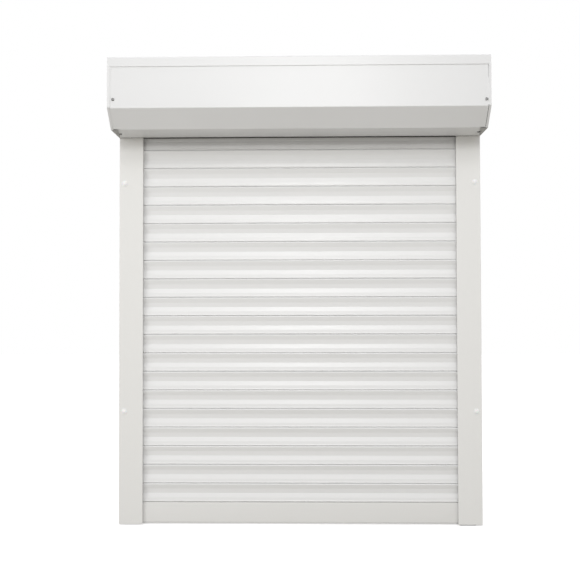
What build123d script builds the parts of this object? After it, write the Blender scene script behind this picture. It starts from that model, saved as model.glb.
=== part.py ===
from build123d import *
import math
import os

# Front-mounted roller shutter with a tubular motor inside its axle.
# Frame: X to the right as seen from outside, +Y into the wall, +Z up. The origin is on the wall plane,
# at the centre of the four wall screws. All lengths are in millimetres.

# ---- Driving dimensions: the whole shutter ----
width = 800.0
height = 1000.0
box_height = 145.0
box_depth = 150.0
box_slope = 39.0
lip_height = 20.3
sheet = 1.2
bend_radius = 2.5

# ---- Driving dimensions: guide rails ----
guide_width = 53.0
guide_depth = 22.0
guide_wall = 1.4
guide_back_wall = 2.0
chamber_width = 23.0
screw_from_edge = 11.5
screw_spacing_z = 506.0
wall_screw_radius = 3.0
access_radius = 5.0
hole_cap_radius = 6.6
guide_lip_radius = 1.4
brush_depth = 3.6
brush_width = 6.0
brush_reach = 1.7

# ---- Driving dimensions: curtain ----
pitch = 41.1
slat_count = 20
slat_length = 740.0
bar_height = 48.0
body_gap = 1.4
bead_radius = 1.5
pocket_radius = 1.9
seal_height = 3.0

# ---- Driving dimensions: axle, bearing and motor ----
axle_flats = 60.0
axle_wall = 1.0
axle_y = -76.0
axle_left = -350.0
axle_right = 350.0
plug_gap = 0.2
motor_radius = 22.5
motor_wall = 1.0
motor_left = -110.0
motor_right = 352.0
running_gap = 0.3
rotor_radius = 13.0
rotor_shaft_radius = 4.0
stator_start = 80.0
stator_end = 175.0
stator_slots = 12
winding_length = 12.0
output_radius = 6.0
pin_radius = 6.0
bearing_radius = 14.0
bearing_width = 8.0
ball_radius = 2.38
ball_count = 9
strap_width = 22.0
strap_thickness = 0.8
strap_places = (-230.0, 0.0, 230.0)

# ---- Places worked out from the driving dimensions ----
foot = -height / 2
crown = height / 2
half = width / 2
cover_left = -half + 5.3
cover_right = half - 5.9
box_bottom = crown - box_height
slope_top = box_bottom + box_slope
box_front = -box_depth
cover_front = box_front + sheet + 0.2
slope_end = box_front + box_slope
guide_inner = half - guide_width
groove_end = half - chamber_width - guide_wall
curtain_y = -guide_depth / 2
curtain_foot = foot + bar_height
screw_x = half - screw_from_edge
cap_plate = 5.0
cap_inner = half - cap_plate
axle_z = (box_bottom + crown) / 2
axle_bore = axle_flats / 2 - axle_wall

# ---- Small hardware ----
head_radius = 3.2
head_height = 2.2
shank_radius = 1.95
screw_hole = 2.0
recess_arm = 1.9
recess_half = 0.4
rivet_radius = 3.2
rivet_height = 1.0

STAND = (Align.CENTER, Align.CENTER, Align.MIN)
HANG = (Align.CENTER, Align.CENTER, Align.MAX)

parts = {}


# ---- Helpers ----
def extrude_x(face, start, end):
    """A face drawn in Y and Z, extruded along X."""
    return extrude(Plane.YZ.offset(start) * face, end - start)


def polygon(*points):
    return make_face(Polyline(*points, close=True))


def rectangle(x0, x1, y0, y1):
    return polygon((x0, y0), (x1, y0), (x1, y1), (x0, y1))


def block(x0, x1, y0, y1, z0, z1):
    return Pos((x0 + x1) / 2, (y0 + y1) / 2, (z0 + z1) / 2) * Box(x1 - x0, y1 - y0, z1 - z0)


def bent_sheet(points, thickness=sheet, radius=bend_radius):
    """The section of a folded sheet whose outer side follows the points."""
    path = FilletPolyline(*points, radius=radius)
    return make_face(offset(path, thickness, side=Side.LEFT))


def disc_x(radius, start, end, y=axle_y, z=axle_z):
    """A round bar along X."""
    return extrude_x(Pos(y, z) * Circle(radius), start, end)


def ring_x(outer, inner, start, end, y=axle_y, z=axle_z):
    return extrude_x(Pos(y, z) * (Circle(outer) - Circle(inner)), start, end)


def octagon(flats, y=axle_y, z=axle_z):
    return Pos(y, z) * Rot(0, 0, 22.5) * RegularPolygon(flats / 2, 8, major_radius=False)


def octagon_x(flats, start, end):
    return extrude_x(octagon(flats), start, end)


def mirrored(shape):
    return mirror(shape, Plane.YZ)


def both_sides(shape):
    return [shape, mirrored(shape)]


def pan_screw_y(x, z, head_y, length=11.0):
    """A cross-recessed pan-head screw that points in +Y, with the underside of its head at head_y."""
    head = Pos(x, head_y, z) * Rot(90, 0, 0) * Cylinder(head_radius, head_height, align=STAND)
    head = fillet(head.edges().sort_by(Axis.Y)[0], head_height / 2)
    shank = Pos(x, head_y, z) * Rot(-90, 0, 0) * Cylinder(shank_radius, length, align=STAND)
    top = head_y - head_height - 1
    floor = head_y - head_height / 2
    recess = block(x - recess_arm, x + recess_arm, top, floor, z - recess_half, z + recess_half)
    recess += block(x - recess_half, x + recess_half, top, floor, z - recess_arm, z + recess_arm)
    return head + shank - recess


# ---- Box: end caps, sheets and their fasteners ----
def box_outline(inset):
    """The box's five-sided section, drawn in Y and Z, set in from its outside by inset."""
    diagonal = inset * math.tan(math.radians(22.5))
    return polygon(
        (-inset, crown - inset),
        (-inset, box_bottom + inset),
        (slope_end + diagonal, box_bottom + inset),
        (box_front + inset, slope_top + diagonal),
        (box_front + inset, crown - inset),
    )


cover_end = -guide_depth - 1.0
cover_screw_z = slope_top + 17.0
under_screw_y = -69.0
cover_screw_x = half - 12.0
front_screws = ((-half + 12.0, cover_screw_z), (half - 10.1, cover_screw_z - 4.2))
rivet_places = (-118.0, -32.0)
seal_drop = 1.7
flange_inset = sheet + 0.35
front_flange_inset = 2 * sheet + 0.6
flange_wall = 2.2
flange_width = 17.0
shell_gap = 0.1
shell_end = half - 0.4
flap_taper = 12.0
flap_depth = sheet + 1.0
flap_taper_end = slope_end + 62.0
spigot_depth = 30.0
bracket_screw_offset = 20.0
grommet_y = -28.0
grommet_z = crown - 32.0
grommet_hole = 6.0
grommet_bore = 3.6


def flange_outline(inset):
    """As box_outline, but further in at the front, where the cover lies under the shell's lip."""
    extra = front_flange_inset - flange_inset
    outline = box_outline(inset) & rectangle(box_front + inset + extra, 0, box_bottom, crown)
    return fillet(outline.vertices(), bend_radius - sheet)


# The box's lower front corners are notched, from the cover's bend back towards the screw.
flap_corner = polygon(
    (cap_inner, slope_end - 1),
    (cap_inner - flap_taper, slope_end - 1),
    (cap_inner - flap_taper, slope_end + 1.5),
    (cap_inner, flap_taper_end),
)
flap_relief = extrude(Pos(0, 0, box_bottom - 1) * flap_corner, flap_depth + 1)


def plate_outline():
    """The end cap's plate fills the box's section inside the shell, and is full size by the cover."""
    outline = fillet(box_outline(0).vertices(), 1.5)
    band = sheet + shell_gap
    outline -= rectangle(box_front - 1, 1, crown - band, crown + 1)
    outline -= rectangle(-band, 1, box_bottom - 1, crown + 1)
    outline -= rectangle(box_front - 1, box_front + band, crown - lip_height - shell_gap, crown + 1)
    upper_corners = [vertex for vertex in outline.vertices() if vertex.Y > crown - band - 0.01]
    return fillet(upper_corners, bend_radius)


def end_cap(side):
    plate = extrude_x(plate_outline(), cap_inner, half)
    flange = extrude_x(flange_outline(flange_inset), cap_inner - flange_width, cap_inner)
    flange -= extrude_x(flange_outline(flange_inset + flange_wall), cap_inner - flange_width, cap_inner)
    # the flange is open where the curtain and the guide's groove come in
    entry_front = cover_end - sheet - 1
    flange -= block(cap_inner - flange_width, cap_inner, entry_front, -4.5, box_bottom, box_bottom + 12)
    spigot_front = -guide_depth + guide_wall + 1.0
    spigot_back = -guide_back_wall - 1.2
    spigot_low = box_bottom - spigot_depth
    spigot = block(groove_end + guide_wall + 1, half - 2.4, spigot_front, spigot_back, spigot_low, box_bottom)
    spigot = fillet(spigot.edges().filter_by(Axis.Z), 1.5)
    rib_ring = ring_x(40, 37.5, cap_inner - 3, cap_inner)
    cap = plate + flange + spigot + rib_ring
    cap -= block(cap_inner + 2.5, half - 1.2, -guide_depth, -3, box_bottom - 1, box_bottom)
    for y in rivet_places:
        cap -= Pos(cover_screw_x, y, crown - 5) * Cylinder(screw_hole, 12)
    hole_x, hole_z = front_screws[0 if side < 0 else 1]
    cap -= Pos(abs(hole_x), box_front + 5, hole_z) * Rot(90, 0, 0) * Cylinder(screw_hole, 14)
    cap -= Pos(cover_screw_x, under_screw_y, box_bottom + 5) * Cylinder(screw_hole, 14)
    for dy, dz in ((-1, -1), (-1, 1), (1, -1), (1, 1)):
        hole_y = axle_y + dy * bracket_screw_offset
        cap -= disc_x(screw_hole, cap_inner - 4, cap_inner + 4.2, hole_y, axle_z + dz * bracket_screw_offset)
    if side < 0:
        return mirrored(cap)
    cap -= disc_x(grommet_hole, cap_inner - 1, half + 1, grommet_y, grommet_z)
    return cap


parts["end_cap_left"] = end_cap(-1)
parts["end_cap_right"] = end_cap(1)

shell_path = [
    (0, box_bottom),
    (0, crown),
    (box_front, crown),
    (box_front, crown - lip_height),
]
top_back_shell = extrude_x(bent_sheet(shell_path), -shell_end, shell_end)
for x in (-cover_screw_x, cover_screw_x):
    for y in rivet_places:
        top_back_shell -= Pos(x, y, crown) * Cylinder(screw_hole, 6)
parts["top_back_shell"] = top_back_shell

cover_path = [
    (cover_front, crown - sheet - 4.0),
    (cover_front, slope_top - (cover_front - box_front)),
    (slope_end, box_bottom),
    (cover_end, box_bottom),
    (cover_end, box_bottom + 9.0),
]
inspection_cover = extrude_x(bent_sheet(cover_path), cover_left, cover_right)
for x, z in front_screws:
    inspection_cover -= Pos(x, cover_front, z) * Rot(90, 0, 0) * Cylinder(screw_hole, 6)
for x in (-cover_screw_x, cover_screw_x):
    inspection_cover -= Pos(x, under_screw_y, box_bottom) * Cylinder(screw_hole, 6)
for relief in both_sides(flap_relief):
    inspection_cover -= relief
parts["inspection_cover"] = inspection_cover

seal_front = cover_end - 2.0
seal_back = cover_end + 0.85
cover_seal = rectangle(seal_front, seal_back, box_bottom - seal_drop, box_bottom - 0.05)
cover_seal += rectangle(cover_end + 0.05, seal_back, box_bottom - 0.1, box_bottom + 6.0)
parts["cover_edge_seal"] = extrude_x(cover_seal, 1 - guide_inner, guide_inner - 1)

screws = [pan_screw_y(x, z, cover_front) for x, z in front_screws]
for x in (-cover_screw_x, cover_screw_x):
    under = Rot(90, 0, 0) * pan_screw_y(0, 0, 0)
    screws.append(Pos(x, under_screw_y, box_bottom) * under)
parts["cover_screws"] = Compound(children=screws)

rivets = []
for x in (-cover_screw_x, cover_screw_x):
    for y in rivet_places:
        dome = Pos(x, y, crown) * Cylinder(rivet_radius, rivet_height, align=STAND)
        dome = fillet(dome.edges().sort_by(Axis.Z)[-1], 0.8 * rivet_height)
        shank = Pos(x, y, crown) * Cylinder(shank_radius, 5.0, align=HANG)
        rivets.append(dome + shank)
parts["shell_rivets"] = Compound(children=rivets)

# ---- Guide rails with their brushes, caps, plugs and funnels ----
funnel_height = 26.0


def guide_section():
    """The right guide's section, drawn in X and Y: a screw chamber, then a groove open to the curtain."""
    outer = rectangle(guide_inner, half, -guide_depth, 0)
    lip = outer.vertices().sort_by(Axis.X)[:2].sort_by(Axis.Y)[0]
    outer = fillet(lip, guide_lip_radius)
    outer = fillet(outer.vertices().sort_by(Axis.X)[-2:], 0.8)
    front = -guide_depth + guide_wall
    chamber = rectangle(half - chamber_width, half - guide_wall, front, -guide_back_wall)
    chamber = fillet(chamber.vertices(), 0.6)
    groove = rectangle(guide_inner - 1, groove_end, front, -guide_back_wall)
    return outer - chamber - groove


def guide_rail():
    rail = extrude(Pos(0, 0, foot) * guide_section(), height - box_height)
    for z in (-screw_spacing_z / 2, screw_spacing_z / 2):
        across = Pos(screw_x, -1.0, z) * Rot(90, 0, 0) * Cylinder(wall_screw_radius, 8)
        access = Pos(screw_x, -guide_depth, z) * Rot(90, 0, 0) * Cylinder(access_radius, 8)
        rail -= across
        rail -= access
    return rail


def brush_strip(y_wall, toward):
    """A woven base with a pile that is cut slightly tapered, held at the mouth of the groove."""
    base = y_wall + toward * 1.2
    tip = y_wall + toward * brush_depth
    start = guide_inner - brush_reach
    face = polygon(
        (start, y_wall),
        (start + brush_width, y_wall),
        (start + brush_width, base),
        (start + 4.4, tip),
        (start + 0.8, tip),
        (start, base),
    )
    return extrude(Pos(0, 0, foot + 1) * face, height - box_height - funnel_height)


def hole_cap(z):
    """A domed cap with a split stem, pressed into an access hole."""
    ball = Sphere(12.0)
    dome = Pos(0, 0, -9.9) * ball & Cylinder(hole_cap_radius, 4.2, align=STAND)
    rim = Cylinder(hole_cap_radius, 0.6, align=STAND)
    stem = Cylinder(access_radius - 0.2, 4.5, align=HANG)
    stem -= Pos(0, 0, -4.5) * Box(1.0, 12, 6.0)
    cap = dome + rim + stem
    return Pos(screw_x, -guide_depth, z) * Rot(90, 0, 0) * cap


def inlet_funnel():
    """Two flared lips and a web that lead the curtain into the groove."""
    x0 = guide_inner + 0.8
    x1 = groove_end - 0.3
    low = box_bottom - funnel_height + 4
    high = box_bottom + 22
    front_lip = polygon(
        (-20.3, low),
        (-17.6, low),
        (-17.6, box_bottom + 2),
        (-25.5, high),
        (-28.0, high),
        (-20.3, box_bottom + 3),
    )
    back_lip = polygon((-2.3, low), (-4.9, low), (-4.9, high - 4), (-2.3, high))
    web = polygon((-20.3, low), (-2.3, low), (-2.3, high), (-28.0, high), (-20.3, box_bottom + 3))
    funnel = extrude_x(front_lip, x0, x1)
    funnel += extrude_x(back_lip, x0, x1)
    funnel += extrude_x(web, x1 - 2.2, x1)
    return funnel


def foot_plug():
    """A cap for the open end of the screw chamber."""
    x0 = half - chamber_width + 0.3
    x1 = half - guide_wall - 0.3
    front = -guide_depth + guide_wall + 0.3
    plug = block(x0, x1, front, -guide_back_wall - 0.3, foot + 0.4, foot + 12)
    hollow = block(x0 + 2, x1 - 2, front + 2, -guide_back_wall - 2.3, foot + 2.4, foot + 12)
    return plug - hollow


right_brushes = [
    brush_strip(-guide_depth + guide_wall, 1),
    brush_strip(-guide_back_wall, -1),
]
parts["guide_rail_left"] = mirrored(guide_rail())
parts["guide_rail_right"] = guide_rail()
parts["brush_seals_left"] = Compound(children=[mirrored(b) for b in right_brushes])
parts["brush_seals_right"] = Compound(children=right_brushes)
caps = []
for z in (-screw_spacing_z / 2, screw_spacing_z / 2):
    caps += both_sides(hole_cap(z))
parts["guide_rail_plugs"] = Compound(children=caps + both_sides(foot_plug()))
parts["inlet_funnel_left"] = mirrored(inlet_funnel())
parts["inlet_funnel_right"] = inlet_funnel()


# ---- Curtain: slats, bottom bar, seal, glides and hanger straps ----
def neck_and_bead(seam):
    """The hooked top edge: a thin neck that carries a round bead above the seam."""
    middle = curtain_y - 0.3
    neck = rectangle(middle - 0.6, middle + 0.6, seam - body_gap - 0.6, seam + 1.6)
    return neck + Pos(middle, seam + 2.2) * Circle(bead_radius)


def slat_section(seam):
    """A slat between its lower seam and the next one: concave outside, bowed towards the wall."""
    outside = [(-1.2, 39.6), (-4.4, 39.3), (-5.2, 38.2), (-1.9, 28.7), (-0.7, 18.7), (-2.9, 9.3)]
    outside += [(-3.3, 3.0), (-4.0, 1.5), (-3.3, 0.2), (-2.4, 0.0)]
    inside = [(1.9, 0.0), (2.7, 1.0), (2.9, 3.2), (3.6, 12.0), (3.8, 20.0), (3.5, 29.0)]
    inside += [(2.4, 38.4), (0.6, 39.6)]
    foam = [(-3.9, 37.0), (-0.9, 28.5), (0.3, 18.7), (-1.8, 9.6), (-2.1, 5.4), (2.1, 5.4)]
    foam += [(2.8, 20.0), (2.0, 33.0), (1.2, 37.2)]
    face = polygon(*[(curtain_y + dy, seam + dz) for dy, dz in outside + inside])
    face -= polygon(*[(curtain_y + dy, seam + dz) for dy, dz in foam])
    middle = curtain_y - 0.3
    face -= Pos(middle, seam + 2.2) * Circle(pocket_radius)
    face -= rectangle(middle - 1.2, middle + 1.2, seam - 1, seam + 2.2)
    return face + neck_and_bead(seam + pitch)


for number in range(1, slat_count + 1):
    seam = curtain_foot + (number - 1) * pitch
    section = slat_section(seam)
    parts[f"slat_{number:02d}"] = extrude_x(section, -slat_length / 2, slat_length / 2)

bar_front = curtain_y - 4.8
bar_back = curtain_y + 3.6
bar_low = foot + seal_height + 0.5
bar_top = curtain_foot - body_gap
bar_face = polygon(
    (bar_front, bar_low),
    (bar_back, bar_low),
    (bar_back, bar_top - 2),
    (curtain_y + 0.6, bar_top),
    (curtain_y - 1.2, bar_top),
    (bar_front, bar_top - 0.8),
)
bar_face = fillet(bar_face.vertices(), 0.5)
bar_face -= rectangle(bar_front + 1.5, bar_back - 1.3, bar_low + 9, bar_low + 24)
bar_face -= rectangle(bar_front + 1.5, bar_back - 1.3, bar_low + 26, bar_top - 3.6)
seal_middle = (bar_front + bar_back) / 2
bar_face -= rectangle(seal_middle - 2.4, seal_middle + 2.4, bar_low + 2, bar_low + 5)
bar_face -= rectangle(seal_middle - 1.2, seal_middle + 1.2, bar_low - 1, bar_low + 3)
bar_face += neck_and_bead(curtain_foot)
parts["bottom_bar"] = extrude_x(bar_face, -slat_length / 2, slat_length / 2)

seal_face = rectangle(seal_middle - 3.6, seal_middle + 3.6, foot + 0.5, bar_low - 0.05)
seal_face = fillet(seal_face.vertices().sort_by(Axis.Y)[:2], 1.4)
seal_face += rectangle(seal_middle - 1.1, seal_middle + 1.1, bar_low - 0.5, bar_low + 2.4)
seal_face += rectangle(seal_middle - 2.1, seal_middle + 2.1, bar_low + 2.15, bar_low + 4.3)
parts["bottom_seal"] = extrude_x(seal_face, -slat_length / 2 + 1, slat_length / 2 - 1)

glide_face = rectangle(bar_front - 0.6, bar_back + 0.6, bar_low + 2, bar_top - 4)
glide_face = fillet(glide_face.vertices(), 1.0)
bar_end = slat_length / 2
glide = extrude_x(glide_face, bar_end + 0.1, bar_end + 2.4)
glide += block(bar_end - 14, bar_end + 0.2, bar_front + 1.7, bar_back - 1.5, bar_low + 9.2, bar_low + 23.8)
parts["bottom_bar_glides"] = Compound(children=both_sides(glide))

curtain_top = curtain_foot + slat_count * pitch


def strap_section():
    """A spring-steel strap from a slot in the axle's top flat, over its back, down to the top slat."""
    lift = axle_flats / 2 + 0.6
    path = FilletPolyline(
        (axle_y - 6, axle_z + lift),
        (axle_y + 13, axle_z + lift),
        (axle_y + lift + 2, axle_z + 11),
        (axle_y + lift + 8, curtain_top + 34),
        (curtain_y - 2.6, curtain_top + 14),
        (curtain_y - 2.6, curtain_top + 4.6),
        radius=5,
    )
    return make_face(offset(path, strap_thickness, side=Side.LEFT))


def hanger_strap(x):
    return extrude_x(strap_section(), x - strap_width / 2, x + strap_width / 2)


parts["hanger_straps"] = Compound(children=[hanger_strap(x) for x in strap_places])

# ---- Axle, idler cap, pin and ball bearing ----
axle = extrude_x(octagon(axle_flats) - octagon(2 * axle_bore), axle_left, axle_right)
for x in strap_places:
    axle -= block(x - 13, x + 13, axle_y - 14, axle_y - 8, axle_z + 20, axle_z + 40)
parts["axle_tube"] = axle

plug_flats = 2 * (axle_bore - plug_gap / 2)
idler_cap = octagon_x(plug_flats, axle_left, axle_left + 45)
idler_cap += octagon_x(axle_flats, axle_left - 4, axle_left)
idler_cap -= ring_x(axle_bore - 3.5, 11, axle_left + 4, axle_left + 46)
idler_cap -= disc_x(pin_radius, axle_left - 5, axle_left + 46)
parts["idler_cap"] = idler_cap

bearing_start = -cap_inner + 4
pin = disc_x(pin_radius, bearing_start - 1, axle_left + 42)
pin = chamfer(pin.edges().filter_by(GeomType.CIRCLE), 0.6)
parts["idler_pin"] = pin

ball_orbit = (pin_radius + bearing_radius) / 2
bearing_middle = bearing_start + bearing_width / 2
race = Pos(bearing_middle, axle_y, axle_z) * Rot(0, 90, 0) * Torus(ball_orbit, ball_radius + 0.05)
inner_ring = ring_x(ball_orbit - 1.2, pin_radius, bearing_start, bearing_start + bearing_width) - race
outer_ring = ring_x(bearing_radius, ball_orbit + 1.2, bearing_start, bearing_start + bearing_width) - race
parts["bearing_inner_ring"] = inner_ring
parts["bearing_outer_ring"] = outer_ring
cage = ring_x(ball_orbit + 0.6, ball_orbit - 0.6, bearing_middle - 0.8, bearing_middle + 0.8)
for number in range(ball_count):
    turn = 2 * math.pi * number / ball_count
    ball_y = axle_y + ball_orbit * math.cos(turn)
    cage += Pos(bearing_middle, ball_y, axle_z + ball_orbit * math.sin(turn)) * Sphere(ball_radius)
parts["ball_cage"] = cage

bracket_size = 54.0
bracket_plate = 2.5
bracket_face = fillet((Pos(axle_y, axle_z) * Rectangle(bracket_size, bracket_size)).vertices(), 6)
holder = extrude_x(bracket_face, -cap_inner, -cap_inner + bracket_plate)
collar_start = -cap_inner + bracket_plate
holder += ring_x(bearing_radius + 4, bearing_radius, collar_start, bearing_start + bearing_width)
for dy in (-1, 1):
    for dz in (-1, 1):
        hole_y = axle_y + dy * bracket_screw_offset
        hole_z = axle_z + dz * bracket_screw_offset
        holder -= disc_x(screw_hole, -cap_inner - 1, -cap_inner + 4, hole_y, hole_z)
parts["bearing_holder"] = holder

# ---- Tubular motor ----
tube_inner = motor_radius - motor_wall
parts["motor_tube"] = ring_x(motor_radius, tube_inner, motor_left, motor_right)

tube_fill = tube_inner - 0.1
head_end = motor_right + 34
head_flange = 18.0
head_neck_radius = 20.0
head_square = 15.6
square_reach = 5.0
square_hole = 16.2
screw_pocket_radius = 3.3
limit_screw_radius = 3.0
limit_screw_length = 6.5
limit_socket = 1.5
limit_screw_x = motor_right + head_flange / 2
limit_screw_offset = 9.0
motor_head_radius = 26.0
pocket_floor = axle_y - motor_head_radius + 9

head = disc_x(motor_head_radius, motor_right, motor_right + head_flange)
head = fillet(head.edges().filter_by(GeomType.CIRCLE), 1.2)
head += disc_x(head_neck_radius, motor_right + head_flange - 1, head_end - 4)
head += disc_x(tube_fill, motor_right - 12, motor_right + 2)
head_key = Pos(axle_y, axle_z) * Rectangle(head_square, head_square)
head += extrude_x(head_key, head_end - square_reach, head_end + square_reach)
for dz in (-limit_screw_offset, limit_screw_offset):
    pocket = Pos(limit_screw_x, pocket_floor, axle_z + dz) * Rot(90, 0, 0)
    head -= pocket * Cylinder(screw_pocket_radius, 16, align=STAND)
parts["motor_head"] = head


def limit_screw(dz):
    """A hexagon-socket adjusting screw in the front of the motor's head."""
    screw = Cylinder(limit_screw_radius, limit_screw_length, align=STAND)
    screw = chamfer(screw.edges().sort_by(Axis.Z)[-1], 0.5)
    socket_face = RegularPolygon(limit_socket, 6, major_radius=False)
    socket = extrude(Pos(0, 0, limit_screw_length - 3.5) * socket_face, 5)
    place = Pos(limit_screw_x, pocket_floor - running_gap, axle_z + dz) * Rot(90, 0, 0)
    return place * (screw - socket)


parts["limit_screw_up"] = limit_screw(limit_screw_offset)
parts["limit_screw_down"] = limit_screw(-limit_screw_offset)

boss = 24.0
boss_face = fillet((Pos(axle_y, axle_z) * Rectangle(boss, boss)).vertices(), 2)
bracket = extrude_x(bracket_face, cap_inner - bracket_plate, cap_inner)
bracket += extrude_x(boss_face, head_end + 0.4, cap_inner - bracket_plate)
key_hole = Pos(axle_y, axle_z) * Rectangle(square_hole, square_hole)
bracket -= extrude_x(key_hole, head_end, head_end + square_reach + 0.6)
for dy in (-1, 1):
    for dz in (-1, 1):
        hole_y = axle_y + dy * bracket_screw_offset
        hole_z = axle_z + dz * bracket_screw_offset
        bracket -= disc_x(screw_hole, cap_inner - 4, cap_inner + 1, hole_y, hole_z)
parts["motor_bracket"] = bracket

bracket_screws = []
for end in (-1, 1):
    for dy in (-1, 1):
        for dz in (-1, 1):
            hole_y = axle_y + dy * bracket_screw_offset
            hole_z = axle_z + dz * bracket_screw_offset
            place = Pos(end * (cap_inner - bracket_plate), hole_y, hole_z) * Rot(0, 0, -90 * end)
            bracket_screws.append(place * pan_screw_y(0, 0, 0, length=6.0))
parts["bracket_screws"] = Compound(children=bracket_screws)

crown_start = axle_right - 24
crown_ring = octagon_x(plug_flats, crown_start, axle_right - 1)
crown_ring -= disc_x(motor_radius + 0.35, crown_start - 1, axle_right)
parts["limit_crown"] = crown_ring

capacitor_radius = 16.5
capacitor = disc_x(capacitor_radius, 262, 330)
parts["capacitor"] = fillet(capacitor.edges().filter_by(GeomType.CIRCLE), 2.0)

coil_radius = 19.5
brake_start = 205.0
brake_end = 240.0
brake = ring_x(coil_radius, rotor_shaft_radius + 1, brake_start, brake_end)
brake += ring_x(tube_fill, coil_radius - 0.5, brake_start + 5, brake_start + 11)
parts["brake"] = brake

stator = ring_x(tube_fill, rotor_radius + running_gap, stator_start, stator_end)
for number in range(stator_slots):
    slot_x0 = stator_start - 10
    slot = block(slot_x0, stator_end + 15, -1.3, 1.3, rotor_radius, coil_radius - 1)
    stator -= Pos(0, axle_y, axle_z) * Rot(360 / stator_slots * number, 0, 0) * slot
for x0 in (stator_start - winding_length, stator_end):
    stator += ring_x(coil_radius, rotor_radius + 1.2, x0 - 0.2, x0 + winding_length + 0.2)
parts["stator"] = stator

rotor = disc_x(rotor_radius, stator_start + 2, stator_end - 2)
rotor += disc_x(rotor_shaft_radius, 32, brake_end + 4)
rotor += ring_x(17.5, rotor_shaft_radius, 192, 200)
parts["rotor"] = rotor

gearbox_end = 50.0
gearbox_wall = 10.0
gearbox_bore = 18.0
gear_length = 12.0
gearbox = ring_x(tube_fill, gearbox_bore, motor_left + 10, gearbox_end - 2)
gearbox += disc_x(tube_fill, gearbox_end - gearbox_wall, gearbox_end)
gearbox += disc_x(tube_fill, motor_left - 6, motor_left + 14)
gearbox += ring_x(motor_radius, gearbox_wall, motor_left - 6, motor_left - 0.1)
gearbox -= disc_x(rotor_shaft_radius + running_gap, gearbox_end - gearbox_wall - 2, gearbox_end + 2)
gearbox -= disc_x(output_radius + running_gap, motor_left - 7, motor_left + 16)
for start in (-80, -40, 0):
    gearbox += ring_x(gearbox_bore + 0.2, 9, start, start + gear_length)
parts["gearbox"] = gearbox

shaft_left = motor_left - 40
output_shaft = disc_x(output_radius, shaft_left, motor_left + 22)
output_shaft = chamfer(output_shaft.edges().filter_by(GeomType.CIRCLE), 0.6)
parts["output_shaft"] = output_shaft

wheel_end = motor_left - 9
recess_end = wheel_end - 11
hub_radius = 11.0
spoke_half = 1.5
drive_wheel = octagon_x(plug_flats, shaft_left + 4, wheel_end)
drive_wheel -= ring_x(axle_bore - 4, hub_radius, shaft_left + 3, recess_end)
drive_wheel -= disc_x(output_radius, shaft_left, motor_left)
for number in range(6):
    spoke = block(shaft_left + 4, recess_end, -spoke_half, spoke_half, hub_radius - 0.5, axle_bore - 3.5)
    drive_wheel += Pos(0, axle_y, axle_z) * Rot(60 * number, 0, 0) * spoke
parts["drive_wheel"] = drive_wheel

grommet = ring_x(8.5, grommet_bore, half, half + 1.6, grommet_y, grommet_z)
grommet += ring_x(grommet_hole - 0.05, grommet_bore, cap_inner, half, grommet_y, grommet_z)
grommet += ring_x(8.0, grommet_bore, cap_inner - 1.5, cap_inner, grommet_y, grommet_z)
parts["cable_grommet"] = grommet

# ---- One STEP file for each piece ----
os.makedirs("parts", exist_ok=True)
for name, shape in parts.items():
    export_step(shape, f"parts/{name}.step")
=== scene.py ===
import math
import random

import bmesh
import bpy
from mathutils import Matrix, Vector


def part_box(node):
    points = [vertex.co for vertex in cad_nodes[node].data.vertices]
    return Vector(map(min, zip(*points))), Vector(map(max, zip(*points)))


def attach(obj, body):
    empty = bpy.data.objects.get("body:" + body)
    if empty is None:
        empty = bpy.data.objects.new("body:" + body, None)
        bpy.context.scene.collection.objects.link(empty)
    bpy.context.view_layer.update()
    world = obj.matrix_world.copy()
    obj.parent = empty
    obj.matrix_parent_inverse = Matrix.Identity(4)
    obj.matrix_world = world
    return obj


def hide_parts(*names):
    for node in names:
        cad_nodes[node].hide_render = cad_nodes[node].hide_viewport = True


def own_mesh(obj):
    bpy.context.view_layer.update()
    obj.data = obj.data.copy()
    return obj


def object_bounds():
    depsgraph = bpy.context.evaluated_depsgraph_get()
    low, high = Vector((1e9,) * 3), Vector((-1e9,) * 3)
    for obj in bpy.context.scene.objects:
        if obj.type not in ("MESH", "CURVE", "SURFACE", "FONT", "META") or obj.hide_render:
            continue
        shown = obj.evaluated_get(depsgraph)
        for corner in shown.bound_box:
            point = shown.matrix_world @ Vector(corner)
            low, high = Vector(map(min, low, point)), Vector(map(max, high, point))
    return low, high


# A front-mounted roller shutter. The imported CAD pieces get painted, metal, plastic and rubber finishes. The
# slats, brush piles, hanger straps, bottom bar and some thin trim are built here.
# Blender's lengths are in metres, in the frame of the CAD. Outlines are written in millimetres.

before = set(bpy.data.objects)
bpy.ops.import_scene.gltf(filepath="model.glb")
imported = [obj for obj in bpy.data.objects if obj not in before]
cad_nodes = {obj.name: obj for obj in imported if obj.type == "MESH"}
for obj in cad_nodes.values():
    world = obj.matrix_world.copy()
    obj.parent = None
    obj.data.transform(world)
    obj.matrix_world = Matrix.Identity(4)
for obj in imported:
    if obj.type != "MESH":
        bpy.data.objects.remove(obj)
cad_low, cad_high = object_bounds()

MM = 0.001


# ---- Materials ----
# The sockets of a Mix node that carry colours.
MIX_FIRST = 6
MIX_SECOND = 7
MIX_RESULT = 2
BEVEL_SAMPLES = 4
EDGE_COSINE = 0.80
FLAT_COSINE = 0.98
GRAIN_SHARE = 0.45
WEAR_PATCHES = 40.0
WEAR_LEAST = 0.15
WEAR_MOST = 0.9
WEAR_ROUGHNESS = 0.15
GLOW_DEPTH = 1.5 * MM


def add_node(tree, kind, settings=None, inputs=None):
    """A shader node with its settings and its unlinked inputs filled in."""
    made = tree.nodes.new(kind)
    for name, value in (settings or {}).items():
        setattr(made, name, value)
    for name, value in (inputs or {}).items():
        made.inputs[name].default_value = value
    return made


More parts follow.
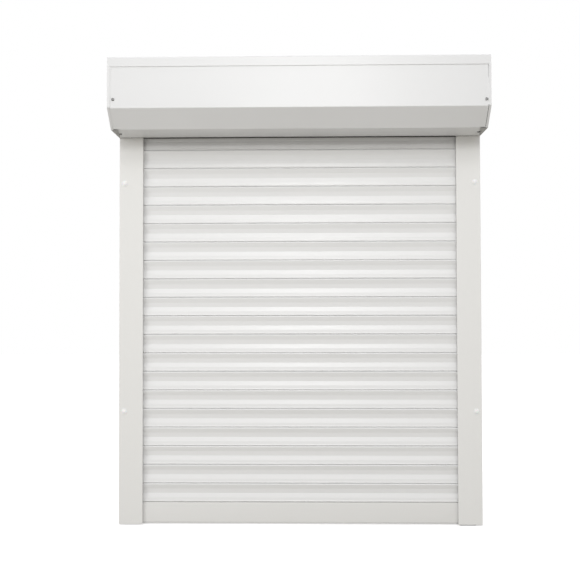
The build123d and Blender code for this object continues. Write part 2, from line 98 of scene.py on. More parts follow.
def noise(tree, scale, stretch=(1, 1, 1), detail=2.0, roughness=0.55):
    """Noise with about `scale` cells a metre, drawn out along the axes whose stretch is under 1."""
    place = add_node(tree, "ShaderNodeTexCoord")
    mapping = add_node(tree, "ShaderNodeMapping", inputs={"Scale": stretch})
    shape = {"Scale": scale, "Detail": detail, "Roughness": roughness}
    made = add_node(tree, "ShaderNodeTexNoise", inputs=shape)
    tree.links.new(place.outputs["Object"], mapping.inputs["Vector"])
    tree.links.new(mapping.outputs["Vector"], made.inputs["Vector"])
    return made.outputs["Fac"]


def spangle(tree, scale):
    """The crystals of hot-dip zinc, each with its own grey."""
    place = add_node(tree, "ShaderNodeTexCoord")
    made = add_node(tree, "ShaderNodeTexVoronoi", inputs={"Scale": scale, "Randomness": 1.0})
    tree.links.new(place.outputs["Object"], made.inputs["Vector"])
    grey = add_node(tree, "ShaderNodeRGBToBW")
    tree.links.new(made.outputs["Color"], grey.inputs["Color"])
    return grey.outputs["Val"]


def layers(tree, scale):
    """Thin sheets stacked along X."""
    place = add_node(tree, "ShaderNodeTexCoord")
    made = add_node(tree, "ShaderNodeTexWave", {"wave_type": "BANDS", "bands_direction": "X"},
                    {"Scale": scale, "Distortion": 0.4, "Detail": 2.0})
    tree.links.new(place.outputs["Object"], made.inputs["Vector"])
    return made.outputs["Fac"]


def spread(tree, value, low, high, start=0.3, end=0.7):
    """The value, mapped from start..end to low..high."""
    made = add_node(tree, "ShaderNodeMapRange", inputs={"From Min": start, "From Max": end,
                                                        "To Min": low, "To Max": high})
    tree.links.new(value, made.inputs["Value"])
    return made.outputs["Result"]


def mix_colour(tree, factor, first, second):
    """From the first colour to the second as the factor goes from 0 to 1. Each is a tuple or a socket."""
    made = add_node(tree, "ShaderNodeMix", {"data_type": "RGBA"})
    tree.links.new(factor, made.inputs["Factor"])
    for socket, colour in ((made.inputs[MIX_FIRST], first), (made.inputs[MIX_SECOND], second)):
        if isinstance(colour, tuple):
            socket.default_value = (*colour, 1.0)
        else:
            tree.links.new(colour, socket)
    return made.outputs[MIX_RESULT]


def edge_mask(tree, radius):
    """1 on a convex or concave edge and 0 on the flat: where a rounded normal leaves the true one."""
    eased = add_node(tree, "ShaderNodeBevel", {"samples": BEVEL_SAMPLES}, {"Radius": radius})
    geometry = add_node(tree, "ShaderNodeNewGeometry")
    product = add_node(tree, "ShaderNodeVectorMath", {"operation": "DOT_PRODUCT"})
    tree.links.new(eased.outputs["Normal"], product.inputs[0])
    tree.links.new(geometry.outputs["Normal"], product.inputs[1])
    return spread(tree, product.outputs["Value"], 1.0, 0.0, EDGE_COSINE, FLAT_COSINE)


def bump(tree, height, distance, normal=None):
    """The normal of a surface with this relief, laid over another relief if one is given."""
    made = add_node(tree, "ShaderNodeBump", inputs={"Strength": 1.0, "Distance": distance})
    tree.links.new(height, made.inputs["Height"])
    if normal is not None:
        tree.links.new(normal, made.inputs["Normal"])
    return made.outputs["Normal"]


def make_material(name, dark, light, cloud=6.0, grain=600.0, stretch=(1, 1, 1), rough=(0.3, 0.42),
                  grain_depth=0.02, wave_depth=0.0, wave=9.0, metallic=0.0, coat=0.0, coat_rough=0.15,
                  edge=None, edge_radius=0.6, pattern=None, pattern_scale=200.0, sheen=0.0, soft=0.0):
    """A finish whose colour, gloss and relief all vary: broad clouds, a fine grain and, if asked, worn edges.

    Depths and the edge radius are in millimetres. Cloud, grain and wave are cells a metre.
    """
    material = bpy.data.materials.new(name)
    material.use_nodes = True
    tree = material.node_tree
    shader = tree.nodes["Principled BSDF"]
    shader.inputs["Metallic"].default_value = metallic
    shader.inputs["Coat Weight"].default_value = coat
    shader.inputs["Coat Roughness"].default_value = coat_rough
    shader.inputs["Sheen Weight"].default_value = sheen
    shader.inputs["Subsurface Weight"].default_value = soft
    shader.inputs["Subsurface Scale"].default_value = GLOW_DEPTH
    if pattern == "spangle":
        clouds = spangle(tree, pattern_scale)
    elif pattern == "layers":
        clouds = layers(tree, pattern_scale)
    else:
        clouds = noise(tree, cloud, stretch, detail=3.0)
    fine = noise(tree, grain, stretch, detail=3.0, roughness=0.6)
    middle = tuple((a + b) / 2 for a, b in zip(dark, light))
    broad = mix_colour(tree, spread(tree, clouds, 0.0, 1.0), dark, light)
    colour = mix_colour(tree, spread(tree, fine, 0.0, GRAIN_SHARE), broad, middle)
    roughness = spread(tree, fine, *rough)
    if edge is not None:
        worn = edge_mask(tree, edge_radius * MM)
        patchy = spread(tree, noise(tree, WEAR_PATCHES, detail=4.0), WEAR_LEAST, WEAR_MOST)
        share = add_node(tree, "ShaderNodeMath", {"operation": "MULTIPLY"})
        tree.links.new(worn, share.inputs[0])
        tree.links.new(patchy, share.inputs[1])
        colour = mix_colour(tree, share.outputs["Value"], colour, edge)
        rise = add_node(tree, "ShaderNodeMath", {"operation": "MULTIPLY_ADD"}, {1: WEAR_ROUGHNESS})
        tree.links.new(share.outputs["Value"], rise.inputs[0])
        tree.links.new(roughness, rise.inputs[2])
        roughness = rise.outputs["Value"]
    tree.links.new(colour, shader.inputs["Base Color"])
    tree.links.new(roughness, shader.inputs["Roughness"])
    relief = bump(tree, fine, grain_depth * MM)
    if wave_depth:
        relief = bump(tree, noise(tree, wave, stretch, detail=1.0), wave_depth * MM, relief)
    tree.links.new(relief, shader.inputs["Normal"])
    return material


ALONG_X = (0.04, 1, 1)
ALONG_Z = (1, 1, 0.04)

finishes = {
    "box_coat": make_material(
        "box_coat_satin", (0.752, 0.755, 0.757), (0.782, 0.786, 0.789), cloud=3.0, grain=700,
        rough=(0.34, 0.44), grain_depth=0.012, wave_depth=0.35, wave=5.0, coat=0.25, coat_rough=0.30,
        edge=(0.73, 0.728, 0.722)),
    "guide_coat": make_material(
        "guide_coat_satin", (0.800, 0.796, 0.776), (0.832, 0.829, 0.812), cloud=4.0, grain=500,
        stretch=ALONG_Z, rough=(0.36, 0.48), grain_depth=0.015, wave_depth=0.10, wave=14.0,
        edge=(0.74, 0.735, 0.715)),
    "slat_coat": make_material(
        "slat_coat_enamel", (0.815, 0.816, 0.814), (0.848, 0.849, 0.848), cloud=5.0, grain=420,
        stretch=ALONG_X, rough=(0.28, 0.38), grain_depth=0.010, wave_depth=0.12, wave=20.0),
    "bar_coat": make_material(
        "bar_coat_satin", (0.796, 0.792, 0.775), (0.826, 0.823, 0.808), cloud=5.0, grain=500,
        stretch=ALONG_X, rough=(0.36, 0.46), grain_depth=0.014, wave_depth=0.10, wave=16.0,
        edge=(0.73, 0.72, 0.70)),
    "screw_steel": make_material(
        "screw_zinc", (0.22, 0.22, 0.22), (0.42, 0.42, 0.41), cloud=500, grain=2500, rough=(0.38, 0.55),
        grain_depth=0.02, metallic=1.0, edge=(0.12, 0.12, 0.12), edge_radius=0.4),
    "rivet_metal": make_material(
        "rivet_aluminium", (0.66, 0.66, 0.65), (0.78, 0.78, 0.77), cloud=400, grain=1800,
        rough=(0.25, 0.4), grain_depth=0.02, metallic=1.0, edge=(0.5, 0.5, 0.49), edge_radius=0.4),
    "brush_pile": make_material(
        "brush_pile_fibre", (0.36, 0.36, 0.355), (0.56, 0.555, 0.545), cloud=120, grain=1400,
        stretch=(1, 0.2, 1), rough=(0.85, 0.98), grain_depth=0.15, sheen=0.35),
    "white_plastic": make_material(
        "white_plastic", (0.86, 0.862, 0.855), (0.90, 0.90, 0.895), cloud=60, grain=1500,
        rough=(0.35, 0.5), grain_depth=0.012, soft=0.08, edge=(0.74, 0.73, 0.71), edge_radius=0.3),
    "black_plastic": make_material(
        "black_plastic", (0.018, 0.018, 0.019), (0.034, 0.034, 0.035), cloud=70, grain=1600,
        rough=(0.42, 0.6), grain_depth=0.03, edge=(0.08, 0.08, 0.08), edge_radius=0.4),
    "seal_rubber": make_material(
        "seal_rubber", (0.020, 0.020, 0.021), (0.042, 0.041, 0.040), cloud=50, grain=900, stretch=ALONG_X,
        rough=(0.6, 0.82), grain_depth=0.03),
    "bar_seal": make_material(
        "bar_seal_rubber", (0.70, 0.70, 0.69), (0.78, 0.78, 0.765), cloud=50, grain=900, stretch=ALONG_X,
        rough=(0.6, 0.8), grain_depth=0.03),
    "spring_steel": make_material(
        "spring_steel", (0.24, 0.25, 0.27), (0.40, 0.41, 0.43), cloud=60, grain=1200,
        stretch=(1, 0.1, 0.1), rough=(0.22, 0.4), grain_depth=0.012, metallic=1.0, edge=(0.5, 0.5, 0.5),
        edge_radius=0.3),
    "galvanised_steel": make_material(
        "galvanised_steel", (0.44, 0.45, 0.46), (0.66, 0.67, 0.68), grain=900, rough=(0.3, 0.5),
        grain_depth=0.01, metallic=1.0, pattern="spangle", pattern_scale=110, edge=(0.40, 0.40, 0.40),
        edge_radius=0.5),
    "bearing_steel": make_material(
        "bearing_steel", (0.52, 0.52, 0.53), (0.68, 0.68, 0.69), cloud=300, grain=2500,
        rough=(0.12, 0.24), grain_depth=0.004, metallic=1.0, edge=(0.42, 0.42, 0.42), edge_radius=0.3),
    "motor_coat": make_material(
        "motor_tube_zinc", (0.50, 0.51, 0.53), (0.66, 0.67, 0.69), cloud=20, grain=800, stretch=ALONG_X,
        rough=(0.3, 0.45), grain_depth=0.01, metallic=1.0, edge=(0.4, 0.4, 0.4)),
    "motor_plastic": make_material(
        "motor_plastic", (0.56, 0.56, 0.55), (0.63, 0.63, 0.62), cloud=60, grain=1500, rough=(0.45, 0.62),
        grain_depth=0.03, edge=(0.48, 0.48, 0.47), edge_radius=0.4),
    "lamination_steel": make_material(
        "lamination_steel", (0.20, 0.19, 0.18), (0.42, 0.41, 0.40), grain=1800, rough=(0.35, 0.55),
        grain_depth=0.03, metallic=1.0, pattern="layers", pattern_scale=600),
    "gear_metal": make_material(
        "gear_metal", (0.30, 0.29, 0.28), (0.44, 0.43, 0.42), cloud=200, grain=2200, rough=(0.35, 0.55),
        grain_depth=0.03, metallic=1.0, edge=(0.55, 0.55, 0.54), edge_radius=0.4),
    "yellow_plastic": make_material(
        "yellow_plastic", (0.72, 0.50, 0.03), (0.82, 0.60, 0.06), cloud=90, grain=1600,
        rough=(0.38, 0.55), grain_depth=0.015, soft=0.05, edge=(0.6, 0.42, 0.05), edge_radius=0.3),
}
# The flat grey of the sheets that paint shade on the box's bottom corners.
corner_shade_finish = make_material(
    "corner_pad_felt", (0.43, 0.43, 0.42), (0.50, 0.50, 0.49), cloud=150, grain=1500, rough=(0.8, 0.95),
    grain_depth=0.10)
foam = make_material(
    "slat_foam", (0.70, 0.66, 0.50), (0.80, 0.77, 0.64), cloud=300, grain=1400, rough=(0.85, 0.95),
    grain_depth=0.25)

for cad_object in cad_nodes.values():
    for holder in cad_object.material_slots:
        holder.material = finishes[holder.material.name.split(".")[0]]


# ---- Slats ----
# The skins' corners are (y, z, corner radius) from the middle of the slat's lower seam. +y is into the wall.
SLAT_COUNT = 20
SLAT_SEED = 7
SLAT_FRONT = [(-1.2, 39.6, 0.2), (-4.4, 39.3, 1.0), (-5.2, 38.2, 1.0), (-1.9, 28.7, 1.5), (-0.7, 18.7, 0.6),
              (-2.9, 9.3, 1.0), (-3.3, 3.0, 0.8), (-4.0, 1.5, 0.6), (-3.3, 0.2, 0.5), (-2.4, 0.0, 0.2)]
SLAT_BACK = [(1.9, 0.0, 0.4), (2.7, 1.0, 0.8), (2.9, 3.2, 1.5), (3.6, 12.0, 12.0), (3.8, 20.0, 14.0),
             (3.5, 29.0, 12.0), (2.4, 38.4, 1.0), (0.6, 39.6, 0.4)]
SLAT_FOAM = [(-3.9, 37.0), (-0.9, 28.5), (0.3, 18.7), (-1.8, 9.6), (-2.1, 5.4), (2.1, 5.4), (2.8, 20.0),
             (2.0, 33.0), (1.2, 37.2)]
PITCH = 41.1
SLAT_BACK_Y = 3.8
HOOK_Y = -0.3
HOOK_Z = 2.2
BEAD_RADIUS = 1.5
POCKET_RADIUS = 1.9
NECK = 0.6
POCKET_SLOT = 1.2
ARC_STEPS = 12
SKIN_FOOT_Z = 0.0
SKIN_TOP_Z = 39.6
CORNER_SHARE = 0.45
SLAT_SPANS = 12
MOST_TILT = 0.25
MOST_BOW = 0.12
FOAM_INSET = 0.4 * MM
FOAM_INDEX = 1


def arc(centre_y, centre_z, radius, start, end, steps):
    """Points of an arc, from one angle to the other, in degrees."""
    points = []
    for step in range(steps + 1):
        turn = math.radians(start + (end - start) * step / steps)
        points.append((centre_y + radius * math.cos(turn), centre_z + radius * math.sin(turn)))
    return points


def rounded(corners, steps=4):
    """A run of corners (y, z, radius) with each one but the first and last eased by a short curve."""
    points = [corners[0][:2]]
    for before, corner, after in zip(corners, corners[1:], corners[2:]):
        here = Vector(corner[:2])
        back = Vector(before[:2]) - here
        ahead = Vector(after[:2]) - here
        half_angle = back.angle(ahead) / 2
        most_cut = CORNER_SHARE * min(back.length, ahead.length)
        cut = min(corner[2] / math.tan(half_angle), most_cut)
        first = here + back.normalized() * cut
        last = here + ahead.normalized() * cut
        for step in range(steps + 1):
            t = step / steps
            point = first * (1 - t) ** 2 + here * 2 * t * (1 - t) + last * t ** 2
            points.append((point.x, point.y))
    points.append(corners[-1][:2])
    return points


def slat_outline():
    """The slat's section in (y, z) from its lower seam, with the pocket below and the bead above."""
    pocket_turn = math.degrees(math.acos(POCKET_SLOT / POCKET_RADIUS))
    bead_turn = math.degrees(math.acos(NECK / BEAD_RADIUS))
    points = rounded(SLAT_FRONT)
    points.append((HOOK_Y - POCKET_SLOT, SKIN_FOOT_Z))
    points += arc(HOOK_Y, HOOK_Z, POCKET_RADIUS, 180 + pocket_turn, -pocket_turn, ARC_STEPS)
    points.append((HOOK_Y + POCKET_SLOT, SKIN_FOOT_Z))
    points += rounded(SLAT_BACK)
    points.append((HOOK_Y + NECK, SKIN_TOP_Z))
    points += arc(HOOK_Y, PITCH + HOOK_Z, BEAD_RADIUS, -bead_turn, 180 + bead_turn, ARC_STEPS)
    return points


def finish_mesh(name, work, materials, smooth_angle=35.0):
    """An object from a bmesh, smooth except across edges sharper than the angle in degrees."""
    bmesh.ops.recalc_face_normals(work, faces=work.faces)
    mesh = bpy.data.meshes.new(name)
    work.to_mesh(mesh)
    work.free()
    for material in materials:
        mesh.materials.append(material)
    for face in mesh.polygons:
        face.use_smooth = True
    mesh.set_sharp_from_angle(angle=math.radians(smooth_angle))
    made = bpy.data.objects.new(name, mesh)
    bpy.context.scene.collection.objects.link(made)
    return made


def loft_x(work, outline, stations, place):
    """A wall through copies of a closed outline, one at each station along X. Returns the two end loops."""
    rings = []
    for x in stations:
        rings.append([work.verts.new(place(x, y, z)) for y, z in outline])
    count = len(outline)
    for first, second in zip(rings, rings[1:]):
        for index in range(count):
            after = (index + 1) % count
            work.faces.new((first[index], first[after], second[after], second[index]))
    return rings[0], rings[-1]


def close_end(work, ring, x, inward, place):
    """The cut end of a slat: a flat metal rim round a plug of foam that lies a little deeper."""
    hole = [work.verts.new(place(x, y, z)) for y, z in SLAT_FOAM]
    deep = [work.verts.new(place(x + inward, y, z)) for y, z in SLAT_FOAM]
    count = len(hole)
    edges = [work.edges.new((hole[i], hole[(i + 1) % count])) for i in range(count)]
    edges += [work.edges.get((ring[i], ring[(i + 1) % len(ring)])) for i in range(len(ring))]
    bmesh.ops.triangle_fill(work, use_beauty=True, use_dissolve=False, edges=edges)
    for i in range(count):
        after = (i + 1) % count
        work.faces.new((hole[i], hole[after], deep[after], deep[i]))
    plug = work.faces.new(deep)
    plug.material_index = FOAM_INDEX


def make_slat(number, draw):
    """One slat, with the slight tilt and bow that each real one has."""
    node = f"slat_{number:02d}"
    low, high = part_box(node)
    seam = low.z
    middle_y = high.y - SLAT_BACK_Y * MM
    tilt = math.radians(draw.uniform(-MOST_TILT, MOST_TILT))
    bow = draw.uniform(-MOST_BOW, MOST_BOW) * MM
    length = high.x - low.x

    def place(x, y, z):
        """A point of the slat: x is in metres, and y and z are in millimetres from its seam."""
        lean = y + math.tan(tilt) * (z - HOOK_Z)
        sway = bow * math.sin(math.pi * (x - low.x) / length)
        return Vector((x, middle_y + lean * MM + sway, seam + z * MM))

    stations = [low.x + length * step / SLAT_SPANS for step in range(SLAT_SPANS + 1)]
    work = bmesh.new()
    first, last = loft_x(work, slat_outline(), stations, place)
    close_end(work, first, stations[0], FOAM_INSET, place)
    close_end(work, last, stations[-1], -FOAM_INSET, place)
    slat = finish_mesh(f"slat_skin_{number:02d}", work, [finishes["slat_coat"], foam])
    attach(slat, node)
    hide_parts(node)
    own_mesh(slat)


def prism(name, loop, shift, finish):
    """A straight-sided piece on the fixed frame: a loop of points and its shifted copy, in millimetres."""
    work = bmesh.new()
    near = [work.verts.new(Vector(point) * MM) for point in loop]
    far = [work.verts.new((Vector(point) + Vector(shift)) * MM) for point in loop]
    work.faces.new(near)
    work.faces.new(far)
    for index in range(len(loop)):
        after = (index + 1) % len(loop)
        work.faces.new((near[index], near[after], far[after], far[index]))
    made = finish_mesh(name, work, [finish])
    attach(made, "frame")


# ---- Trim: grey sheets painting shade on the bottom corners, a dark strip painting the shade in the slope's right gap, beads down the cover's edges, a dark strip painting the shadow under the right foot ----
BOX_BOTTOM = 355.0
SLOPE_TOP = 394.0
LIP_BOTTOM = 479.6
FOOT_BOTTOM = -500.0
SLOPE_END_Y = -111.0
BOX_FRONT_Y = -150.0
COVER_FRONT_Y = -148.6

# Thin grey sheets on the end caps' bottom edges paint the shade of the box's bottom corners. Their outline is
# seen from above, for the right side.
CORNER_SHADE_OUTLINE = [(399.8, -110.0), (384.5, -110.0), (391.8, -73.0),
               (391.8, -65.0), (398.6, -24.5), (399.8, -24.5)]
CORNER_SHADE_DROP = 0.35
CORNER_SHADE_THICKNESS = 0.33
for side, sign in (("left", -1), ("right", 1)):
    corner_shade_loop = [(sign * x, y, BOX_BOTTOM - CORNER_SHADE_DROP) for x, y in CORNER_SHADE_OUTLINE]
    prism(f"corner_pad_{side}", corner_shade_loop, (0, 0, CORNER_SHADE_THICKNESS), corner_shade_finish)

# A dark rubber strip paints the shade in the slope's right gap. It runs down most of the slope, a little
# proud of it. The slope is at 45 degrees.
SLOPE_SHADE_X = 394.15
SLOPE_SHADE_WIDTH = 0.75
SLOPE_SHADE_START = 0.06
SLOPE_SHADE_END = 0.94
SLOPE_SHADE_PROUD = -0.12
SLOPE_SHADE_DEPTH = 1.3
slope_start = Vector((SLOPE_SHADE_X, BOX_FRONT_Y, SLOPE_TOP))
slope_run = Vector((0, SLOPE_END_Y - BOX_FRONT_Y, BOX_BOTTOM - SLOPE_TOP))
into_box = Vector((0, 1, 1)).normalized()
slope_shade_corners = [(SLOPE_SHADE_START, SLOPE_SHADE_PROUD), (SLOPE_SHADE_END, SLOPE_SHADE_PROUD),
                  (SLOPE_SHADE_END, SLOPE_SHADE_DEPTH), (SLOPE_SHADE_START, SLOPE_SHADE_DEPTH)]
slope_shade_loop = [slope_start + slope_run * share + into_box * depth for share, depth in slope_shade_corners]
prism("slope_gap_shade", slope_shade_loop, (SLOPE_SHADE_WIDTH, 0, 0), finishes["seal_rubber"])

# The beads fill the step between the end caps and the cover. The right one leaves the top of its gap open.
BEAD_OUTER_X = 394.98
LEFT_BEAD_INNER_X = 391.5
RIGHT_BEAD_INNER_X = 393.3
LEFT_BEAD_GAP = 0.4
RIGHT_BEAD_GAP = 27.0
BEAD_FRONT_Y = BOX_FRONT_Y + 0.1
BEAD_BACK_Y = COVER_FRONT_Y - 0.02
BEAD_BASE = SLOPE_TOP + 1
for side, outer, inner, gap in (("left", -BEAD_OUTER_X, -LEFT_BEAD_INNER_X, LEFT_BEAD_GAP),
                                ("right", BEAD_OUTER_X, RIGHT_BEAD_INNER_X, RIGHT_BEAD_GAP)):
    bead_corners = [(outer, BEAD_FRONT_Y), (inner, BEAD_BACK_Y), (outer, BEAD_BACK_Y)]
    bead_loop = [(x, y, BEAD_BASE) for x, y in bead_corners]
    bead_height = LIP_BOTTOM - BEAD_BASE - gap
    prism(f"cover_bead_{side}", bead_loop, (0, 0, bead_height), finishes["box_coat"])

# A dark rubber strip under the right guide's foot paints its contact shadow as a thin dark line.
FOOT_SHADOW_LEFT = 349.5
FOOT_SHADOW_RIGHT = 386.0
FOOT_SHADOW_FRONT_Y = -20.5
FOOT_SHADOW_BACK_Y = -3.0
FOOT_SHADOW_DROP = 1.3
FOOT_SHADOW_THICKNESS = 1.28
foot_shadow_corners = [(FOOT_SHADOW_LEFT, FOOT_SHADOW_FRONT_Y), (FOOT_SHADOW_RIGHT, FOOT_SHADOW_FRONT_Y),
                (FOOT_SHADOW_RIGHT, FOOT_SHADOW_BACK_Y), (FOOT_SHADOW_LEFT, FOOT_SHADOW_BACK_Y)]
foot_shadow_loop = [(x, y, FOOT_BOTTOM - FOOT_SHADOW_DROP) for x, y in foot_shadow_corners]
prism("foot_shadow_right", foot_shadow_loop, (0, 0, FOOT_SHADOW_THICKNESS), finishes["seal_rubber"])


# ---- Hanger straps: a clip round the axle and a link that folds back when the curtain is up ----
# Paths are (y, z, corner radius) in millimetres.
AXLE_Y = -76.0
AXLE_Z = 427.5
STRAP_WIDTH = 22.0
STRAP_THICK = 0.8
STRAP_SPACING = 230.0
STRAP_CLIP = [(AXLE_Y - 6, AXLE_Z + 30.6, 0), (AXLE_Y + 13, AXLE_Z + 30.6, 5),
              (AXLE_Y + 32.6, AXLE_Z + 11, 5), (AXLE_Y + 38.4, 405.2, 0)]
STRAP_LINK = [(AXLE_Y + 38.9, 403.4, 0), (-13.6, 384.0, 5), (-13.6, 374.6, 0)]


def strap_outline(corners):
    """A strip's section: the path, and back along the same path moved outward by the strip's thickness."""
    path = [Vector(point) for point in rounded(corners)]
    outer = []
    for index, point in enumerate(path):
        ahead = path[min(index + 1, len(path) - 1)] - path[max(index - 1, 0)]
        outer.append(point + Vector((-ahead.y, ahead.x)).normalized() * STRAP_THICK)
    return [(p.x, p.y) for p in path + outer[::-1]]


def strap_place(x, y, z):
    """A point of a strap, from millimetres."""
    return Vector((x * MM, y * MM, z * MM))


def make_straps(name, corners):
    """The three copies of one strip of the straps, in one piece that turns with the axle."""
    work = bmesh.new()
    for middle in (-STRAP_SPACING, 0.0, STRAP_SPACING):
        stations = [middle - STRAP_WIDTH / 2, middle + STRAP_WIDTH / 2]
        for ring in loft_x(work, strap_outline(corners), stations, strap_place):
            work.faces.new(ring)
    made = finish_mesh(name, work, [finishes["spring_steel"]])
    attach(made, "axle")
    return made


strap_clips = make_straps("strap_clips", STRAP_CLIP)
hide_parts("hanger_straps")
strap_links = make_straps("strap_links", STRAP_LINK)
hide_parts("hanger_straps")
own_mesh(strap_links)


# ---- Brush piles ----
BRUSH_SEEDS = {"left": 4, "right": 5}
BRUSH_INSET = 1.6 * MM
BRUSH_BASE = 1.2 * MM
BRUSH_DEPTH = 3.6 * MM
PILE_DEPTH = BRUSH_DEPTH - BRUSH_BASE
TUFT_ROWS = 3
FIRST_ROW = 0.75
ROW_SPACES = 3.5
TUFT_PITCH = 1.8 * MM
TUFT_RADIUS = 0.75 * MM
TUFT_ROOT = 0.1 * MM
ROOT_SHARE = 0.7
TUFT_SHIFT = 0.2
TUFT_LEAN = 0.5
SHORTEST_TUFT = 0.86


def add_base(work, low, high, wall, base_top):
    """The woven strip under a row of tufts, on one wall of the groove."""
    corners = [(low.x, wall), (high.x, wall), (high.x, base_top), (low.x, base_top)]
    rings = []
    for z in (low.z, high.z):
        rings.append([work.verts.new((x, y, z)) for x, y in corners])
        work.faces.new(rings[-1])
    for index in range(4):
        after = (index + 1) % 4
        work.faces.new((rings[0][index], rings[0][after], rings[1][after], rings[1][index]))


def add_tuft(work, draw, foot_x, tuft_z, base_top, toward):
    """A three-sided tuft that widens and leans a little towards its tip."""
    foot_z = tuft_z + draw.uniform(-TUFT_SHIFT, TUFT_SHIFT) * MM
    lean_x = draw.uniform(-TUFT_LEAN, TUFT_LEAN) * MM
    lean_z = draw.uniform(-TUFT_LEAN, TUFT_LEAN) * MM
    root_y = base_top - toward * TUFT_ROOT
    tip_y = base_top + toward * PILE_DEPTH * draw.uniform(SHORTEST_TUFT, 1.0)
    start = draw.uniform(0, math.tau)
    feet = []
    tips = []
    for corner in range(3):
        turn = start + math.tau * corner / 3
        x = math.cos(turn) * TUFT_RADIUS
        z = math.sin(turn) * TUFT_RADIUS
        feet.append(work.verts.new((foot_x + ROOT_SHARE * x, root_y, foot_z + ROOT_SHARE * z)))
        tips.append(work.verts.new((foot_x + lean_x + x, tip_y, foot_z + lean_z + z)))
    work.faces.new(feet)
    work.faces.new(tips)
    for corner in range(3):
        after = (corner + 1) % 3
        work.faces.new((feet[corner], feet[after], tips[after], tips[corner]))


def make_brush(side):
    """A guide's two brushes: a woven base on each wall of the groove, and rows of tufts that stand on it."""
    node = f"brush_seals_{side}"
    low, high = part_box(node)
    if side == "left":
        high.x -= BRUSH_INSET
    else:
        low.x += BRUSH_INSET
    draw = random.Random(BRUSH_SEEDS[side])
    work = bmesh.new()
    steps = int((high.z - low.z) / TUFT_PITCH) - 1
    for wall, toward in ((low.y, 1), (high.y, -1)):
        base_top = wall + toward * BRUSH_BASE
        add_base(work, low, high, wall, base_top)
        for row in range(TUFT_ROWS):
            foot_x = low.x + (high.x - low.x) * (row + FIRST_ROW) / ROW_SPACES
            for step in range(steps):
                add_tuft(work, draw, foot_x, low.z + (step + 1) * TUFT_PITCH, base_top, toward)
    brush = finish_mesh(f"brush_pile_{side}", work, [finishes["brush_pile"]])
    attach(brush, "frame")
    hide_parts(node)


make_brush("left")
make_brush("right")

slat_draw = random.Random(SLAT_SEED)
for number in range(1, SLAT_COUNT + 1):
    make_slat(number, slat_draw)


# ---- Bottom bar: cut at the lowest seam, so that its hook closes up inside the lowest slat ----
WELD_DISTANCE = 0.001 * MM
BAR_SMOOTH_ANGLE = 10.0


def bar_part(name, seam, upper):
    """The CAD bar above or below the seam, closed where it is cut."""
    work = bmesh.new()
    work.from_mesh(cad_nodes["bottom_bar"].data)
    bmesh.ops.remove_doubles(work, verts=work.verts, dist=WELD_DISTANCE)
    whole = work.verts[:] + work.edges[:] + work.faces[:]
    bmesh.ops.bisect_plane(work, geom=whole, plane_co=(0, 0, seam), plane_no=(0, 0, 1),
                           clear_outer=not upper, clear_inner=upper)
    rim = [edge for edge in work.edges if edge.is_boundary]
    bmesh.ops.triangle_fill(work, use_beauty=True, use_dissolve=False, edges=rim)
    part = finish_mesh(name, work, [finishes["bar_coat"]], BAR_SMOOTH_ANGLE)
    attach(part, "curtain_bar")
    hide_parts("bottom_bar")
    return part


lowest_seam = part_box("slat_01")[0].z
bar_part("bar_body", lowest_seam, False)
bar_hook = bar_part("bar_hook", lowest_seam, True)
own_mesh(bar_hook)


# ---- Camera, where the photo was taken from ----
CAMERA_PLACE = (0.021, -1.986, -0.037)
YAW = math.radians(1.22)
PITCH_UP = math.radians(1.52)
ROLL = math.radians(-0.11)
LENS = 55.15
SENSOR_WIDTH = 36.0

camera_data = bpy.data.cameras.new("camera")
camera_data.lens = LENS
camera_data.sensor_width = SENSOR_WIDTH
camera = bpy.data.objects.new("camera", camera_data)
bpy.context.scene.collection.objects.link(camera)
aimed = Matrix.Rotation(YAW, 4, "Z") @ Matrix.Rotation(math.pi / 2 + PITCH_UP, 4, "X")
turned = aimed @ Matrix.Rotation(ROLL, 4, "Z")
camera.matrix_world = Matrix.Translation(CAMERA_PLACE) @ turned
bpy.context.scene.camera = camera


# ---- Floor and light ----
FLOOR_REACH = 8.0
FLOOR_GAP = 1.8 * MM
FLOOR_SEEN = (0.92, 0.92, 0.92)
FLOOR_BOUNCE = (0.45, 0.432, 0.394)
FLOOR_GLOW = 0.4
FLOOR_ROUGHNESS = 0.9
SKY_LOW = (0.60, 0.60, 0.60)
SKY_HIGH = (0.90, 0.90, 0.91)
SKY_START = -0.05
SKY_END = 0.9
WHITE = (1.0, 1.0, 1.0)

floor_z = cad_low.z - FLOOR_GAP
floor_corners = [(x * FLOOR_REACH, y * FLOOR_REACH, floor_z) for x, y in ((-1, -1), (1, -1), (1, 1), (-1, 1))]
floor_mesh = bpy.data.meshes.new("floor")
floor_mesh.from_pydata(floor_corners, [], [(0, 1, 2, 3)])
floor = bpy.data.objects.new("floor", floor_mesh)
bpy.context.scene.collection.objects.link(floor)

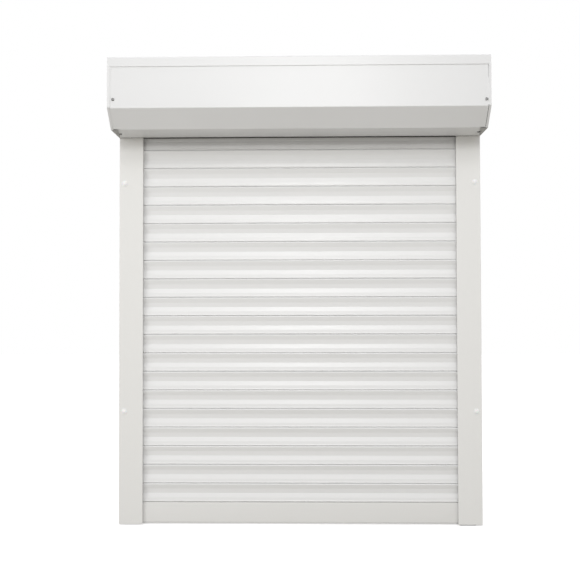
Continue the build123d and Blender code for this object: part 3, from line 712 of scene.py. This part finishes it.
# The camera sees a white floor. The object gets a darker, warmer bounce from it.
floor_material = bpy.data.materials.new("floor")
floor_material.use_nodes = True
tree = floor_material.node_tree
shader = tree.nodes["Principled BSDF"]
ray = add_node(tree, "ShaderNodeLightPath")
by_ray = mix_colour(tree, ray.outputs["Is Camera Ray"], FLOOR_BOUNCE, FLOOR_SEEN)
tree.links.new(by_ray, shader.inputs["Base Color"])
shader.inputs["Emission Color"].default_value = (*WHITE, 1.0)
glow = spread(tree, ray.outputs["Is Camera Ray"], 0.0, FLOOR_GLOW, 0.0, 1.0)
tree.links.new(glow, shader.inputs["Emission Strength"])
shader.inputs["Roughness"].default_value = FLOOR_ROUGHNESS
shader.inputs["Specular IOR Level"].default_value = 0.0
floor_mesh.materials.append(floor_material)

world = bpy.data.worlds.new("studio")
bpy.context.scene.world = world
world.use_nodes = True
tree = world.node_tree
place = add_node(tree, "ShaderNodeTexCoord")
split = add_node(tree, "ShaderNodeSeparateXYZ")
tree.links.new(place.outputs["Generated"], split.inputs["Vector"])
height = spread(tree, split.outputs["Z"], 0.0, 1.0, SKY_START, SKY_END)
sky = mix_colour(tree, height, SKY_LOW, SKY_HIGH)
ray = add_node(tree, "ShaderNodeLightPath")
seen = mix_colour(tree, ray.outputs["Is Camera Ray"], sky, WHITE)
tree.links.new(seen, tree.nodes["Background"].inputs["Color"])


def area_light(name, where, towards, size, power):
    """A rectangle of light at one place, facing another, with its power in watts."""
    data = bpy.data.lights.new(name, "AREA")
    data.shape = "RECTANGLE"
    data.size, data.size_y = size
    data.energy = power
    made = bpy.data.objects.new(name, data)
    made.location = where
    made.rotation_euler = (Vector(towards) - Vector(where)).to_track_quat("-Z", "Y").to_euler()
    bpy.context.scene.collection.objects.link(made)


area_light("softbox", (0.03, -2.4, 0.95), (0.0, 0.0, 0.2), (0.6, 0.5), 12.0)
area_light("top_front", (0.0, -2.2, 1.7), (0.0, 0.0, 0.0), (1.6, 0.6), 8.0)
area_light("side_window", (-2.4, -1.8, 0.7), (0.0, 0.0, -0.1), (1.0, 1.0), 14.0)

bpy.context.scene.view_settings.view_transform = "Standard"
